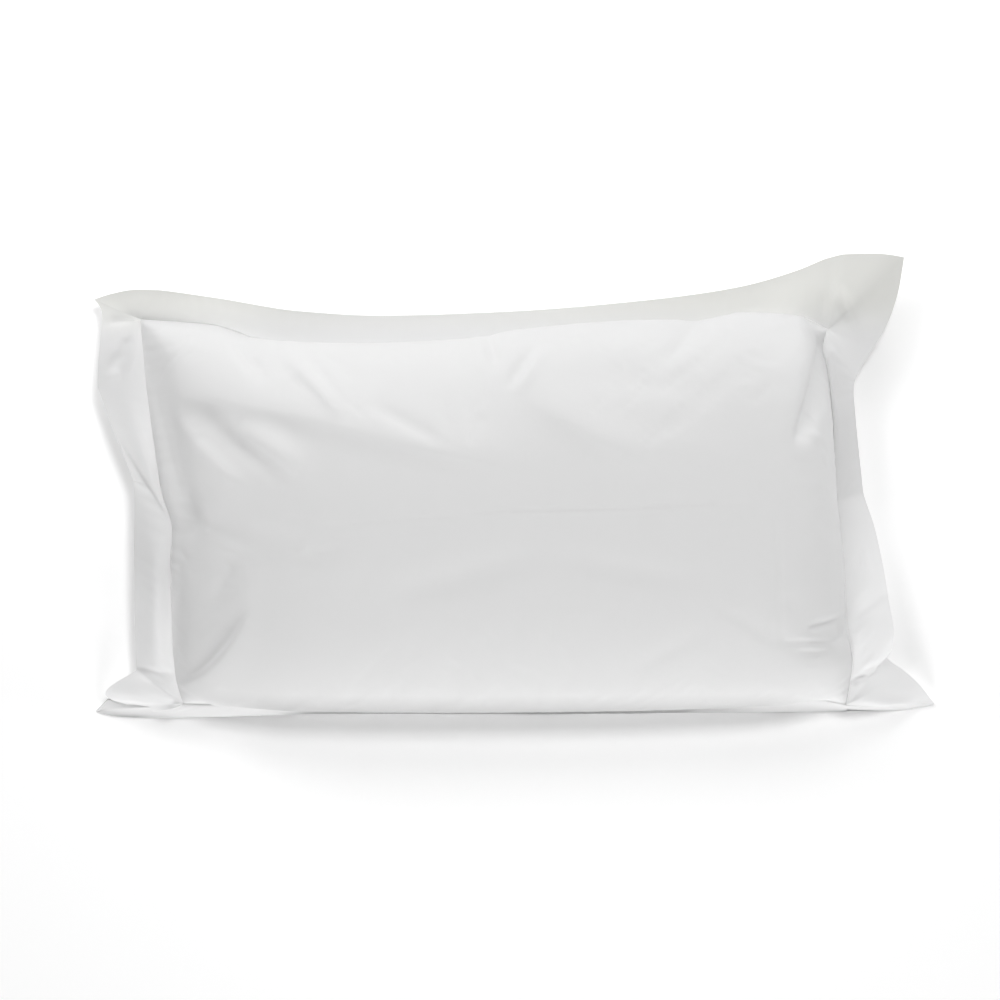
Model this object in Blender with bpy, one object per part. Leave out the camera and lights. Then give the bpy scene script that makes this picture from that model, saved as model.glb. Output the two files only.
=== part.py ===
"""A filled pillowcase with a broad flat border, lying on its back.

The case's face looks up (+Z), its long sides run along X and its upper long side is at +Y.
Two panels are sewn together along the pocket's seam, round a pillow; the panels' margins
reach past that seam and, stitched to each other, make the border. All sizes are in metres.
"""

import math
from collections import namedtuple

import bmesh
import bpy
import numpy as np

# Cut sizes of the cloth
POCKET_LENGTH = 0.75
POCKET_WIDTH = 0.50
BORDER_WIDTH = 0.07
CELL = POCKET_LENGTH / 72  # side of one mesh face, measured along the cloth
COLUMNS = round(POCKET_LENGTH / CELL)
ROWS = round(POCKET_WIDTH / CELL)

# The filled pocket's section
CROWN = 0.108  # height of the face's middle over the seam
SQUARENESS_ALONG = 2.7  # roundness of the section along X: 2 is an ellipse, more is boxier
SQUARENESS_ACROSS = 2.6  # the same along Y
BULGE_SHARE = 0.36  # share of the crown's height at which the sides bulge out the most
BACK_BEND = 5.5 * CELL  # cloth from the seam down to the flat of the back
BACK_INSET = 0.045  # how far the flat of the back lies inside the seam

# The border's section
BORDER_THICKNESS = 0.002
STITCHED_THICKNESS = 0.0012  # where the stitching presses the two layers together
SEAM_GAP = 0.0005  # from the pocket's seam to the border, and the same at the corners
CORNER_GAP = 0.0010
FAN_CELLS = round(1.5 * BORDER_WIDTH / CELL)  # mesh cells round each corner of the border
BORDER_STEPS = (0.0, 0.16, 0.36, 0.57, 0.79, 1.0)  # shares of the way out across the border

# The pocket's widest outline, side by side. tuck is how far the seam lies inside the outline,
# height is the seam's height over the floor.
Seam = namedtuple("Seam", "x y tuck height")
LOWER_LEFT = Seam(-0.340, -0.203, 0.003, 0.046)
LOWER_RIGHT = Seam(0.380, -0.207, 0.008, 0.046)
UPPER_RIGHT = Seam(0.352, 0.208, 0.006, 0.056)
UPPER_LEFT = Seam(-0.375, 0.207, 0.000, 0.052)
LEFT_SIDE = (  # from the lower corner up
    LOWER_LEFT,
    Seam(-0.346, -0.170, 0.000, 0.051),
    Seam(-0.348, -0.130, 0.000, 0.054),
    Seam(-0.348, -0.062, 0.000, 0.056),
    Seam(-0.345, -0.014, 0.000, 0.059),
    Seam(-0.355, 0.024, 0.000, 0.059),
    Seam(-0.363, 0.080, 0.000, 0.057),
    Seam(-0.370, 0.140, 0.000, 0.055),
    UPPER_LEFT,
)
RIGHT_SIDE = (
    LOWER_RIGHT,
    Seam(0.380, -0.155, 0.006, 0.050),
    Seam(0.370, -0.118, 0.005, 0.053),
    Seam(0.366, -0.062, 0.005, 0.055),
    Seam(0.358, 0.030, 0.004, 0.056),
    Seam(0.351, 0.108, 0.003, 0.056),
    UPPER_RIGHT,
)
LOWER_SIDE = (  # from the left corner to the right
    LOWER_LEFT,
    Seam(-0.290, -0.210, 0.011, 0.050),
    Seam(-0.150, -0.208, 0.014, 0.052),
    Seam(0.100, -0.208, 0.014, 0.052),
    Seam(0.310, -0.212, 0.014, 0.050),
    LOWER_RIGHT,
)
UPPER_SIDE = (
    UPPER_LEFT,
    Seam(-0.304, 0.206, 0.011, 0.054),
    Seam(-0.222, 0.192, 0.015, 0.055),
    Seam(-0.140, 0.189, 0.018, 0.055),
    Seam(-0.041, 0.193, 0.020, 0.056),
    Seam(0.020, 0.203, 0.021, 0.056),
    Seam(0.144, 0.213, 0.021, 0.056),
    Seam(0.206, 0.214, 0.020, 0.056),
    Seam(0.255, 0.224, 0.019, 0.056),
    Seam(0.311, 0.226, 0.017, 0.056),
    UPPER_RIGHT,
)

# The border's outer edge, stretch by stretch, counterclockwise seen from above. share is how far
# along its stretch of the seam a row lies, and arch is how much the border swells up half-way out.
Edge = namedtuple("Edge", "share x y height arch")
BORDER_EDGE = {
    "lower side": (
        Edge(0.00, -0.345, -0.230, 0.0016, 0.004),
        Edge(0.14, -0.240, -0.229, 0.0012, 0.000),
        Edge(0.50, 0.010, -0.227, 0.0012, 0.000),
        Edge(0.85, 0.250, -0.226, 0.0012, 0.000),
    ),
    "lower right corner": (
        Edge(0.00, 0.368, -0.226, 0.0013, 0.002),
        Edge(0.35, 0.433, -0.222, 0.0020, 0.004),
        Edge(0.56, 0.472, -0.213, 0.0040, 0.006),
        Edge(0.78, 0.451, -0.189, 0.0120, 0.010),
    ),
    "right side": (
        Edge(0.00, 0.415, -0.159, 0.0290, 0.008),
        Edge(0.07, 0.422, -0.141, 0.0320, 0.008),
        Edge(0.22, 0.419, -0.104, 0.0340, 0.010),
        Edge(0.34, 0.410, -0.056, 0.0360, 0.009),
        Edge(0.45, 0.401, -0.017, 0.0400, 0.006),
        Edge(0.55, 0.386, 0.023, 0.0420, 0.012),
        Edge(0.72, 0.379, 0.088, 0.0450, 0.014),
        Edge(0.86, 0.373, 0.132, 0.0500, 0.010),
    ),
    "upper right corner": (
        Edge(0.00, 0.396, 0.180, 0.0500, 0.004),
        Edge(0.17, 0.409, 0.204, 0.0470, 0.000),
        Edge(0.36, 0.420, 0.240, 0.0430, 0.002),
        Edge(0.52, 0.424, 0.271, 0.0400, 0.004),
        Edge(0.72, 0.390, 0.2745, 0.0430, 0.006),
        Edge(0.90, 0.362, 0.274, 0.0450, 0.007),
    ),
    "upper side": (
        Edge(0.00, 0.342, 0.270, 0.0440, 0.006),
        Edge(0.07, 0.300, 0.252, 0.0380, 0.004),
        Edge(0.20, 0.208, 0.233, 0.0260, 0.002),
        Edge(0.50, 0.000, 0.212, 0.0160, 0.000),
        Edge(0.67, -0.127, 0.208, 0.0140, 0.000),
        Edge(0.80, -0.216, 0.213, 0.0170, 0.001),
        Edge(0.91, -0.300, 0.229, 0.0260, 0.002),
    ),
    "upper left corner": (
        Edge(0.00, -0.372, 0.2365, 0.0310, 0.004),
        Edge(0.42, -0.424, 0.2260, 0.0300, 0.004),
        Edge(0.58, -0.418, 0.2120, 0.0340, 0.006),
    ),
    "left side": (
        Edge(0.00, -0.4225, 0.185, 0.0370, 0.008),
        Edge(0.15, -0.4240, 0.136, 0.0400, 0.006),
        Edge(0.30, -0.4040, 0.084, 0.0480, 0.002),
        Edge(0.42, -0.3850, 0.037, 0.0580, 0.000),
        Edge(0.57, -0.3850, -0.027, 0.0540, 0.006),
        Edge(0.75, -0.3870, -0.095, 0.0500, 0.008),
        Edge(0.94, -0.3880, -0.167, 0.0480, 0.003),
    ),
    "lower left corner": (
        Edge(0.00, -0.4090, -0.182, 0.0440, 0.004),
        Edge(0.20, -0.4230, -0.191, 0.0410, 0.004),
        Edge(0.36, -0.4180, -0.202, 0.0360, 0.003),
        Edge(0.52, -0.3980, -0.213, 0.0200, 0.000),
        Edge(0.74, -0.4390, -0.223, 0.0040, 0.000),
        Edge(0.90, -0.3890, -0.232, 0.0018, 0.003),
    ),
}

# Folds, as soft ridges (height over 0) or troughs (under 0). Each runs from its start to its end,
# bowed to its left by bow, and falls off sideways over width.
Fold = namedtuple("Fold", "start_x start_y end_x end_y bow height width")
POCKET_FOLDS = (
    Fold(-0.362, 0.180, -0.338, 0.010, 0.000, -0.0090, 0.014),  # valley beside the left seam
    Fold(-0.228, 0.152, -0.090, 0.072, -0.020, 0.0045, 0.011),  # ridge down from the upper side
    Fold(-0.240, 0.150, -0.120, 0.075, -0.020, -0.0045, 0.010),
    Fold(-0.278, 0.092, -0.190, 0.038, -0.006, 0.0050, 0.010),  # ridges from the upper left corner
    Fold(-0.296, 0.086, -0.214, 0.032, -0.006, -0.0050, 0.010),
    Fold(-0.318, 0.074, -0.240, 0.034, -0.010, 0.0045, 0.010),
    Fold(-0.240, 0.100, 0.080, 0.030, 0.000, -0.0035, 0.024),  # shelf under the upper side
    Fold(-0.130, 0.104, -0.020, 0.070, -0.010, -0.0030, 0.009),
    Fold(0.015, 0.140, 0.060, 0.165, 0.000, -0.0025, 0.009),  # folds at the middle of the upper side
    Fold(0.010, 0.112, 0.140, 0.050, 0.004, 0.0030, 0.012),
    Fold(0.160, 0.122, 0.250, 0.050, 0.000, -0.0025, 0.012),
    Fold(0.336, 0.172, 0.318, 0.085, 0.006, -0.0080, 0.009),  # crease at the upper right corner
    Fold(-0.285, -0.035, -0.275, -0.115, 0.010, 0.0040, 0.012),  # folds at the lower left corner
    Fold(-0.262, -0.118, -0.328, -0.180, -0.006, -0.0060, 0.010),
    Fold(-0.318, -0.050, -0.322, -0.150, 0.000, -0.0050, 0.014),
    Fold(-0.325, -0.004, -0.290, -0.022, 0.000, -0.0060, 0.010),  # pinch half-way up the left seam
    Fold(-0.200, -0.006, 0.280, 0.010, 0.000, -0.0014, 0.010),  # pressed crease along the middle
    Fold(0.325, -0.112, 0.358, -0.100, 0.000, -0.0040, 0.008),  # puckers at the right seam
    Fold(0.325, -0.136, 0.362, -0.128, 0.000, -0.0040, 0.008),
)
BORDER_FOLDS = (
    Fold(-0.380, 0.195, -0.402, 0.150, 0.000, -0.0050, 0.009),  # upper left: crease and dimple
    Fold(-0.376, 0.030, -0.352, 0.004, 0.000, -0.0060, 0.009),  # pinch half-way up the left side
    Fold(-0.362, -0.050, -0.366, -0.155, 0.000, 0.0050, 0.009),  # soft ridge below it
    Fold(-0.386, -0.172, -0.352, -0.176, 0.000, -0.0050, 0.009),  # crease over the lower left tip
    Fold(0.352, 0.176, 0.368, 0.120, 0.000, -0.0050, 0.010),  # twist at the upper right
    Fold(0.352, 0.226, 0.384, 0.205, 0.000, 0.0045, 0.012),
    Fold(0.384, -0.160, 0.452, -0.205, 0.000, -0.0050, 0.012),  # crease to the lower right tip
    Fold(0.372, -0.085, 0.404, -0.100, 0.000, -0.0030, 0.012),
    Fold(-0.215, -0.200, -0.235, -0.222, 0.000, 0.0050, 0.020),  # slack along the lower side
    Fold(-0.120, -0.200, -0.105, -0.222, 0.000, -0.0045, 0.024),
    Fold(0.045, -0.200, 0.060, -0.222, 0.000, 0.0045, 0.026),
    Fold(0.190, -0.200, 0.175, -0.222, 0.000, -0.0040, 0.022),
    Fold(0.300, -0.200, 0.320, -0.222, 0.000, 0.0050, 0.020),
)

COTTON_WHITE = (0.86, 0.86, 0.85, 1.0)
BORDER_WHITE = (0.83, 0.83, 0.81, 1.0)


def remove_old_objects():
    for thing in list(bpy.data.objects):
        bpy.data.objects.remove(thing, do_unlink=True)


def curve_through(places, values, at):
    """Values at the places `at` of a smooth curve that passes every given value without overshoot."""
    steps = np.diff(places)[:, None]
    slopes = np.diff(values, axis=0) / steps
    before, after = slopes[:-1], slopes[1:]
    even = before * after > 0
    near = 2 * steps[1:] + steps[:-1]
    far = steps[1:] + 2 * steps[:-1]
    mixed = near / np.where(even, before, 1) + far / np.where(even, after, 1)
    inner = np.where(even, (near + far) / np.where(even, mixed, 1), 0)
    tangents = np.vstack([slopes[:1], inner, slopes[-1:]])
    which = np.clip(np.searchsorted(places, at, side="right") - 1, 0, len(steps) - 1)
    step = steps[which]
    t = (np.asarray(at)[..., None] - np.asarray(places)[which][..., None]) / step
    return (
        (2 * t**3 - 3 * t**2 + 1) * values[which]
        + (t**3 - 2 * t**2 + t) * step * tangents[which]
        + (3 * t**2 - 2 * t**3) * values[which + 1]
        + (t**3 - t**2) * step * tangents[which + 1]
    )


def side_curve(side, at):
    """Outline x, y, seam height and tuck at the shares `at` (0 to 1) of a side of the pocket."""
    rows = np.array([(row.x, row.y, row.height, row.tuck) for row in side])
    lengths = np.hypot(*np.diff(rows[:, :2], axis=0).T)
    places = np.concatenate([[0], np.cumsum(lengths)]) / lengths.sum()
    return curve_through(places, rows, at)


def between_sides(across, up):
    """The sheet spanned by the pocket's four sides, at shares across (0 to 1 along X) and up (Y)."""
    a, b = across[..., None], up[..., None]
    lower_left, lower_right, upper_left, upper_right = (
        np.array([row.x, row.y, row.height]) for row in (LOWER_LEFT, LOWER_RIGHT, UPPER_LEFT, UPPER_RIGHT)
    )
    along = (1 - b) * side_curve(LOWER_SIDE, across) + b * side_curve(UPPER_SIDE, across)
    athwart = (1 - a) * side_curve(LEFT_SIDE, up) + a * side_curve(RIGHT_SIDE, up)
    lower = (1 - a) * lower_left + a * lower_right
    upper = (1 - a) * upper_left + a * upper_right
    return (along + athwart)[..., :3] - (1 - b) * lower - b * upper


def face_section(place, half_span, squareness):
    """Shares out (-1 to 1) and up (0 to 1) of a boxy arch, at cloth places from -1 to 1."""
    angle = np.linspace(0, math.pi / 2, 400)
    out = np.cos(angle) ** (2 / squareness)
    up = np.sin(angle) ** (2 / squareness)
    run = np.concatenate([[0], np.cumsum(np.hypot(half_span * np.diff(out), CROWN * np.diff(up)))])
    inward = 1 - np.abs(place)
    return np.sign(place) * np.interp(inward, run / run[-1], out), np.interp(inward, run / run[-1], up)


def both_ways(up_x, up_y):
    """The height share where two arches cross, 0 on every seam and full at the corners."""
    product = up_x * up_y
    return product / np.sqrt(np.maximum(up_x**2 + up_y**2 - product**2, 1e-12))


def back_section(place, half_cloth, half_span):
    """Shares out (-1 to 1) and down (0 to 1) of the back: a bend from the seam, then flat."""
    inward = (1 - np.abs(place)) * half_cloth
    turn = np.clip(inward / BACK_BEND, 0, 1) * math.pi / 2
    inset = BACK_INSET * (1 - np.cos(turn))
    flat = np.clip((inward - BACK_BEND) / (half_cloth - BACK_BEND), 0, 1) * (half_span - BACK_INSET)
    down = np.where(inward >= BACK_BEND, 1.0, np.sin(turn))
    return np.sign(place) * (1 - (inset + flat) / half_span), down


def seam_tucks(columns, rows):
    """How far the seam lies inside the outline, for the left, right, lower and upper side."""
    along = ((1 + rows) / 2, (1 + rows) / 2, (1 + columns) / 2, (1 + columns) / 2)
    sides = (LEFT_SIDE, RIGHT_SIDE, LOWER_SIDE, UPPER_SIDE)
    return [side_curve(side, at)[..., 3] for side, at in zip(sides, along)]


def fold_relief(folds, x, y):
    """Height that the folds add at each x, y."""
    relief = np.zeros_like(x)
    share = np.linspace(0, 1, 25)
    for fold in folds:
        run_x = fold.end_x - fold.start_x
        run_y = fold.end_y - fold.start_y
        length = math.hypot(run_x, run_y)
        bow = 4 * fold.bow * share * (1 - share)
        line_x = fold.start_x + share * run_x - bow * run_y / length
        line_y = fold.start_y + share * run_y + bow * run_x / length
        distance = np.hypot(x[..., None] - line_x, y[..., None] - line_y)
        nearest = share[np.argmin(distance, axis=-1)]
        strength = np.sqrt(np.clip(np.sin(math.pi * (0.04 + 0.92 * nearest)), 0, 1))
        relief += fold.height * strength * np.exp(-((distance.min(axis=-1) / fold.width) ** 2))
    return relief


def surface_normals(points):
    """Unit normals of a grid of points, from its neighbours along both directions."""
    along = np.gradient(points, axis=1)
    across = np.gradient(points, axis=0)
    normals = np.cross(along, across)
    return normals / np.linalg.norm(normals, axis=-1, keepdims=True)


def pocket_half_spans():
    length = (LOWER_RIGHT.x + UPPER_RIGHT.x - LOWER_LEFT.x - UPPER_LEFT.x) / 4
    width = (UPPER_LEFT.y + UPPER_RIGHT.y - LOWER_LEFT.y - LOWER_RIGHT.y) / 4
    return length, width


def pocket_front(columns, rows):
    """The filled face: the sides bulge past the seam, then the arch closes over the crown."""
    half_length, half_width = pocket_half_spans()
    out_x, up_x = face_section(columns, half_length, SQUARENESS_ALONG)
    out_y, up_y = face_section(rows, half_width, SQUARENESS_ACROSS)
    across = (1 + columns + (out_x - columns) * up_y) / 2
    along = (1 + rows + (out_y - rows) * up_x) / 2
    points = between_sides(across, along)
    points[..., 2] += CROWN * both_ways(up_x, up_y)
    left, right, lower, upper = seam_tucks(columns, rows)
    tight_x = np.clip(1 - up_x / BULGE_SHARE, 0, 1) ** 2
    tight_y = np.clip(1 - up_y / BULGE_SHARE, 0, 1) ** 2
    points[..., 0] += tight_x * np.where(columns < 0, left, -right)
    points[..., 1] += tight_y * np.where(rows < 0, lower, -upper)
    loose = np.sqrt(both_ways(up_x, up_y))
    relief = fold_relief(POCKET_FOLDS, points[..., 0], points[..., 1]) * loose
    return points + surface_normals(points) * relief[..., None]


def pocket_back(columns, rows):
    """The underside: it bends in from the seam and lies flat on the floor in the middle."""
    half_length, half_width = pocket_half_spans()
    out_x, down_x = back_section(columns, POCKET_LENGTH / 2, half_length)
    out_y, down_y = back_section(rows, POCKET_WIDTH / 2, half_width)
    across = (1 + columns + (out_x - columns) * down_y) / 2
    along = (1 + rows + (out_y - rows) * down_x) / 2
    points = between_sides(across, along)
    points[..., 2] *= 1 - down_x * down_y
    left, right, lower, upper = seam_tucks(columns, rows)
    points[..., 0] += (1 - down_x) * np.where(columns < 0, left, -right)
    points[..., 1] += (1 - down_y) * np.where(rows < 0, lower, -upper)
    return points


def cloth_grid():
    return np.meshgrid(np.linspace(-1, 1, COLUMNS + 1), np.linspace(-1, 1, ROWS + 1))


def make_pocket(front, back, material):
    """One closed solid: both skins share the seam, and the flat of the back is one face."""
    shape = bmesh.new()
    front_points = [[shape.verts.new(point) for point in row] for row in front]
    on_seam = np.zeros(front.shape[:2], bool)
    on_seam[[0, -1], :] = True
    on_seam[:, [0, -1]] = True
    back_points = [
        [front_points[j][i] if on_seam[j, i] else shape.verts.new(back[j, i]) for i in range(COLUMNS + 1)]
        for j in range(ROWS + 1)
    ]
    flat_faces = []
    for j in range(ROWS):
        for i in range(COLUMNS):
            corners = ((j, i), (j, i + 1), (j + 1, i + 1), (j + 1, i))
            shape.faces.new([front_points[row][column] for row, column in corners])
            under = shape.faces.new([back_points[row][column] for row, column in reversed(corners)])
            if all(back[corner][2] == 0 for corner in corners):
                flat_faces.append(under)
    bmesh.ops.dissolve_faces(shape, faces=flat_faces, use_verts=True)
    return finish_object("filled_pocket", shape, material)


def seam_loop(front):
    """Seam points counterclockwise seen from above, each corner repeated for the fan round it."""
    sides = (front[0, :], front[:, -1], front[-1, ::-1], front[::-1, 0])
    stretches = []
    for side in sides:
        stretches.append(side)
        stretches.append(np.repeat(side[-1:], FAN_CELLS - 1, axis=0))
    return np.concatenate(stretches)


def seam_gaps():
    """Clearance at each place of the seam loop: more where the pocket bulges out over the border."""
    gaps = []
    for side in (LOWER_SIDE, RIGHT_SIDE, UPPER_SIDE[::-1], LEFT_SIDE[::-1]):
        cells = COLUMNS if side[0] in (LOWER_LEFT, UPPER_RIGHT) else ROWS
        tuck = side_curve(side, np.linspace(0, 1, cells + 1))[:, 3]
        lean = 2 * tuck / (BULGE_SHARE * CROWN)
        to_corner = np.minimum(np.arange(cells + 1), cells - np.arange(cells + 1))
        near_corner = np.clip(1 - to_corner / 3, 0, 1)
        gaps.append(SEAM_GAP + lean * STITCHED_THICKNESS / 2 + (CORNER_GAP - SEAM_GAP) * near_corner)
        gaps.append(np.repeat(gaps[-1][-1:], FAN_CELLS - 1))
    return np.concatenate(gaps)


def edge_loop():
    """Outer edge x, y, height and arch at the same places as the seam loop."""
    places, values, wanted = [], [], []
    for number, (name, rows) in enumerate(BORDER_EDGE.items()):
        places += [number + row.share for row in rows]
        values += [row[1:] for row in rows]
        if name.endswith("corner"):
            wanted.append(number + np.arange(1, FAN_CELLS) / FAN_CELLS)
        else:
            cells = COLUMNS if name in ("lower side", "upper side") else ROWS
            wanted.append(number + np.arange(cells + 1) / cells)
    turns = len(BORDER_EDGE)
    places = np.array([places[-1] - turns] + places + [turns, turns + places[1]])
    values = np.array([values[-1]] + values + [values[0], values[1]])
    return curve_through(places, values, np.concatenate(wanted))


def border_sheet(front, steps):
    """The middle of the border's cloth: one row of points for each step out from the seam."""
    seam = seam_loop(front)
    edge = edge_loop()
    outward = edge[:, :2] - seam[:, :2]
    outward = outward / np.linalg.norm(outward, axis=1, keepdims=True)
    start = seam[:, :2] + outward * seam_gaps()[:, None]
    step = np.array(steps)[:, None, None]
    flat = start + (edge[:, :2] - start) * step
    fall = step[..., 0] ** 2 * (3 - 2 * step[..., 0])
    height = seam[:, 2] + (edge[:, 2] - seam[:, 2]) * fall
    height = height + edge[:, 3] * np.sin(math.pi * step[..., 0])
    relief = fold_relief(BORDER_FOLDS, flat[..., 0], flat[..., 1])
    loose = np.sin(math.pi / 2 * np.clip(step[..., 0] / 0.3, 0, 1))
    floor_clearance = BORDER_THICKNESS / 2
    height = np.maximum(height + relief * loose, floor_clearance)
    return np.concatenate([flat, height[..., None]], axis=-1)


def border_normals(sheet):
    """Unit normals of the closed ring of points, upright at the stitched edge."""
    along = np.roll(sheet, -1, axis=1) - np.roll(sheet, 1, axis=1)
    across = np.gradient(sheet, axis=0)
    normals = np.cross(across, along)
    normals[0] = (0, 0, 1)
    return normals / np.linalg.norm(normals, axis=-1, keepdims=True)


def make_border(front, material):
    """One closed ring of cloth, thinner where it is stitched."""
    sheet = border_sheet(front, BORDER_STEPS)
    normals = border_normals(sheet)
    pressed = np.clip(np.array(BORDER_STEPS) / BORDER_STEPS[1], 0, 1)
    half = (STITCHED_THICKNESS + (BORDER_THICKNESS - STITCHED_THICKNESS) * pressed)[:, None, None] / 2
    shape = bmesh.new()
    upper = [[shape.verts.new(point) for point in row] for row in sheet + normals * half]
    lower = [[shape.verts.new(point) for point in row] for row in sheet - normals * half]
    stations = sheet.shape[1]
    last = len(BORDER_STEPS) - 1
    for i in range(stations):
        after = (i + 1) % stations
        for j in range(last):
            shape.faces.new((upper[j][i], upper[j + 1][i], upper[j + 1][after], upper[j][after]))
            shape.faces.new((lower[j][i], lower[j][after], lower[j + 1][after], lower[j + 1][i]))
        shape.faces.new((upper[0][i], upper[0][after], lower[0][after], lower[0][i]))
        shape.faces.new((upper[last][i], lower[last][i], lower[last][after], upper[last][after]))
    return finish_object("border", shape, material)


def finish_object(name, shape, material):
    bmesh.ops.recalc_face_normals(shape, faces=shape.faces)
    mesh = bpy.data.meshes.new(name)
    shape.to_mesh(mesh)
    shape.free()
    mesh.materials.append(material)
    mesh.shade_smooth()
    made = bpy.data.objects.new(name, mesh)
    bpy.context.scene.collection.objects.link(made)
    return made


def cotton(name, colour):
    """Smooth white woven cotton."""
    material = bpy.data.materials.new(name)
    material.use_nodes = True
    shader = material.node_tree.nodes["Principled BSDF"]
    shader.inputs["Base Color"].default_value = colour
    shader.inputs["Roughness"].default_value = 0.85
    shader.inputs["Metallic"].default_value = 0.0
    return material


def centre_on_origin(made):
    """Move the pieces so that the middle of the whole outline is over the origin."""
    corners = np.array([vertex.co[:2] for piece in made for vertex in piece.data.vertices])
    middle = (corners.min(axis=0) + corners.max(axis=0)) / 2
    for piece in made:
        piece.location = (-middle[0], -middle[1], 0)


remove_old_objects()
grid_columns, grid_rows = cloth_grid()
face = pocket_front(grid_columns, grid_rows)
underside = pocket_back(grid_columns, grid_rows)
pocket = make_pocket(face, underside, cotton("pocket cotton", COTTON_WHITE))
border = make_border(face, cotton("border cotton", BORDER_WHITE))
centre_on_origin((pocket, border))
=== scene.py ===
"""A white cotton pillowcase with a broad stitched border, filled and lying on its back."""

import math
from collections import namedtuple

import bpy
import numpy as np
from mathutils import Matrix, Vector


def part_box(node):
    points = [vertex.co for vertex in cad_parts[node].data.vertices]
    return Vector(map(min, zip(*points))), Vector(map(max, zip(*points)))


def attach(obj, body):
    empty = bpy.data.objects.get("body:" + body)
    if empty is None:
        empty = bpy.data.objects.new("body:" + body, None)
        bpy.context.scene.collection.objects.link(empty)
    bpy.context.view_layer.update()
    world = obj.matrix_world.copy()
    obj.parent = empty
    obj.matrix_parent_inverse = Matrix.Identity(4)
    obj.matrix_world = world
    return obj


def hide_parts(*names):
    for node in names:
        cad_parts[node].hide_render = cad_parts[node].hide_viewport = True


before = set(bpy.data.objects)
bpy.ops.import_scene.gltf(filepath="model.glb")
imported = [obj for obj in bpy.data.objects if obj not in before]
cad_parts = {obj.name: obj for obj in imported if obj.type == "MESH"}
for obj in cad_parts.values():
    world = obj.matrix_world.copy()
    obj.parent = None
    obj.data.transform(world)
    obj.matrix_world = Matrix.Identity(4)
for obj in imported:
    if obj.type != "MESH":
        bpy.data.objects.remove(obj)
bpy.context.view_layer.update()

# The view
# The photograph looks straight at the pillow's face, from a little above its upper long side.
# Lying on its back, the face looks up, so the camera hangs over it and leans towards +Y.
CAMERA_LEAN = math.radians(8.0)
CAMERA_DISTANCE = 2.5
CAMERA_LENS = 85.1  # mm
SENSOR_WIDTH = 36.0  # mm
LOOKED_AT = Vector((-0.0165, -0.0062, 0.05))

lens = bpy.data.cameras.new("camera")
lens.lens = CAMERA_LENS
lens.sensor_width = SENSOR_WIDTH
camera = bpy.data.objects.new("camera", lens)
camera.location = LOOKED_AT + CAMERA_DISTANCE * Vector((0, math.sin(CAMERA_LEAN), math.cos(CAMERA_LEAN)))
camera.rotation_euler = (-CAMERA_LEAN, 0, 0)
bpy.context.scene.collection.objects.link(camera)
bpy.context.scene.camera = camera

# The outline
# Two panels of cotton, 89 by 64 cm, are sewn together 7 cm inside their edges. That seam goes round the
# pillow, and outside it the margins stay flat as a border. The seam's course is laid out in metres about
# the middle of the photographed pillow.
POCKET_LENGTH = 0.75
POCKET_WIDTH = 0.50
COLUMNS = 132  # the pocket's mesh cells along its length, before each is halved
ROWS = 88  # and across its width
CORNER_CELLS = 50  # the border's mesh cells round each of its corners

# x and y follow the pocket's outline, seen from above. tuck is how far the seam is drawn in under
# it, and height is the seam's over the floor.
Seam = namedtuple("Seam", "x y tuck height")
LOWER_LEFT = Seam(-0.342, -0.208, 0.003, 0.046)
LOWER_RIGHT = Seam(0.376, -0.210, 0.004, 0.046)
UPPER_RIGHT = Seam(0.344, 0.198, 0.001, 0.056)
UPPER_LEFT = Seam(-0.375, 0.207, 0.000, 0.052)
LEFT_SIDE = (
    LOWER_LEFT,
    Seam(-0.346, -0.170, 0.000, 0.051),
    Seam(-0.348, -0.130, 0.000, 0.054),
    Seam(-0.348, -0.062, 0.000, 0.056),
    Seam(-0.345, -0.014, 0.000, 0.059),
    Seam(-0.355, 0.024, 0.000, 0.059),
    Seam(-0.363, 0.080, 0.000, 0.057),
    Seam(-0.370, 0.140, 0.000, 0.055),
    UPPER_LEFT,
)
RIGHT_SIDE = (
    LOWER_RIGHT,
    Seam(0.379, -0.160, 0.002, 0.050),
    Seam(0.370, -0.118, 0.001, 0.053),
    Seam(0.366, -0.062, 0.001, 0.055),
    Seam(0.356, 0.030, 0.001, 0.056),
    Seam(0.350, 0.112, 0.001, 0.056),
    Seam(0.344, 0.158, 0.001, 0.056),
    Seam(0.339, 0.178, 0.001, 0.056),
    UPPER_RIGHT,
)
LOWER_SIDE = (
    LOWER_LEFT,
    Seam(-0.290, -0.215, 0.011, 0.050),
    Seam(-0.230, -0.214, 0.013, 0.051),
    Seam(-0.150, -0.2115, 0.014, 0.052),
    Seam(0.000, -0.211, 0.014, 0.052),
    Seam(0.140, -0.2095, 0.014, 0.052),
    Seam(0.250, -0.2075, 0.014, 0.051),
    Seam(0.310, -0.2095, 0.014, 0.050),
    LOWER_RIGHT,
)
UPPER_SIDE = (
    UPPER_LEFT,
    Seam(-0.304, 0.206, 0.004, 0.054),
    Seam(-0.222, 0.192, 0.015, 0.055),
    Seam(-0.140, 0.189, 0.018, 0.055),
    Seam(-0.041, 0.193, 0.020, 0.056),
    Seam(0.020, 0.203, 0.021, 0.056),
    Seam(0.144, 0.213, 0.021, 0.056),
    Seam(0.206, 0.214, 0.020, 0.056),
    Seam(0.255, 0.224, 0.019, 0.056),
    Seam(0.311, 0.226, 0.017, 0.056),
    UPPER_RIGHT,
)
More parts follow.
